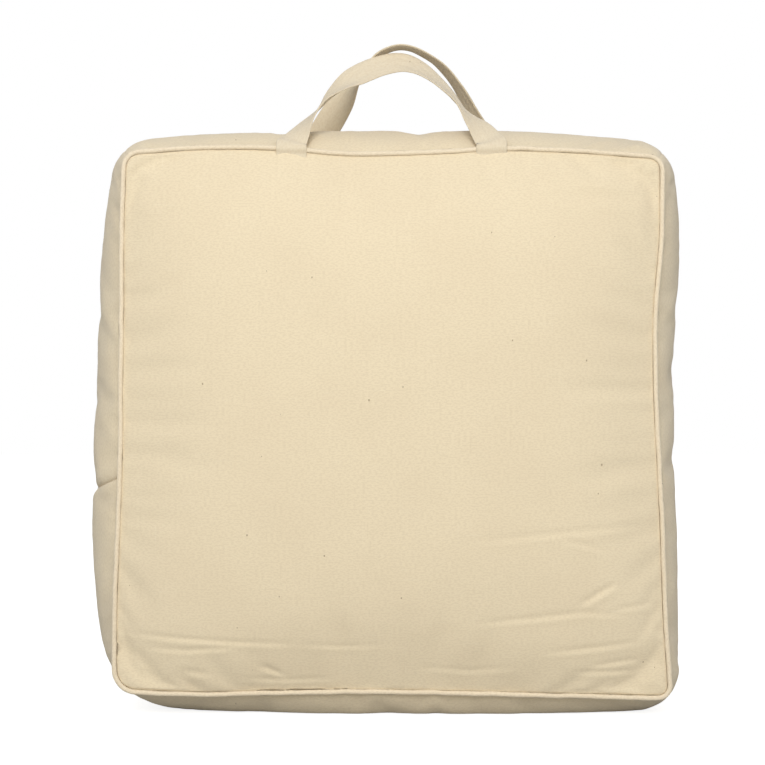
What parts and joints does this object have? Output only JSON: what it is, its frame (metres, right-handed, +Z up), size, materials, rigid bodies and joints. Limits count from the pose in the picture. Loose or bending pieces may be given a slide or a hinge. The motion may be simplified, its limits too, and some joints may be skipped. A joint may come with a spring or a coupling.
{
  "type": "floor cushion",
  "caption": "Square boxed floor cushion in plain calico with corded piping on both seams, two strap handles on top and a zip along the bottom boxing.",
  "frame": {"origin": "on the floor under the middle of the cushion, which stands on its bottom boxing", "axes": "+Z up through the handles, -Y out of the front face, +X to the right seen from the front"},
  "size_m": [0.6618, 0.2258, 0.7737],
  "materials": {
    "calico": "matte",
    "piping_cloth": "matte",
    "strap_cloth": "matte",
    "lining": "matte",
    "fibre": "matte",
    "piping_cord": "matte",
    "zip_tape": "matte",
    "zip_coil": "satin",
    "zip_metal": "satin"
  },
  "bodies": {
    "cushion": {"fibre_filling": "fibre", "inner_casing_front": "lining", "inner_casing_back": "lining", "front_panel": "calico", "back_panel": "calico", "top_boxing": "calico", "left_boxing_upper": "calico", "left_boxing_lower": "calico", "right_boxing": "calico", "zip_boxing_front": "calico", "zip_boxing_back": "calico", "front_piping_cover": "piping_cloth", "front_piping_cord": "piping_cord", "back_piping_cover": "piping_cloth", "back_piping_cord": "piping_cord", "front_handle_tail_left": "strap_cloth", "front_handle_tail_right": "strap_cloth", "back_handle_tail_left": "strap_cloth", "back_handle_tail_right": "strap_cloth", "zip_tape_front": "zip_tape", "zip_tape_back": "zip_tape", "zip_coil_front": "zip_coil", "zip_coil_back": "zip_coil", "zip_top_stop_front": "zip_metal", "zip_top_stop_back": "zip_metal", "zip_bottom_stop": "zip_metal"},
    "front_handle": {"front_handle": "strap_cloth"},
    "back_handle": {"back_handle": "strap_cloth"},
    "zip_slider": {"zip_slider": "zip_metal"},
    "zip_pull": {"zip_pull": "zip_metal"}
  },
  "joints": [
    {"name": "front_handle_hinge", "type": "hinge", "parent": "cushion", "child": "front_handle", "pos_m": [0, -0.077, 0.63], "axis": [1, 0, 0], "range_deg": [0, 160]},
    {"name": "back_handle_hinge", "type": "hinge", "parent": "cushion", "child": "back_handle", "pos_m": [0, 0.077, 0.63], "axis": [-1, 0, 0], "range_deg": [0, 155]},
    {"name": "zip_slide", "type": "slide", "parent": "cushion", "child": "zip_slider", "axis": [-1, 0, 0], "range_m": [0, 0.48]},
    {"name": "zip_pull_hinge", "type": "hinge", "parent": "zip_slider", "child": "zip_pull", "pos_m": [0.24, 0, 0.00365], "axis": [0, -1, 0], "range_deg": [0, 170]}
  ]
}
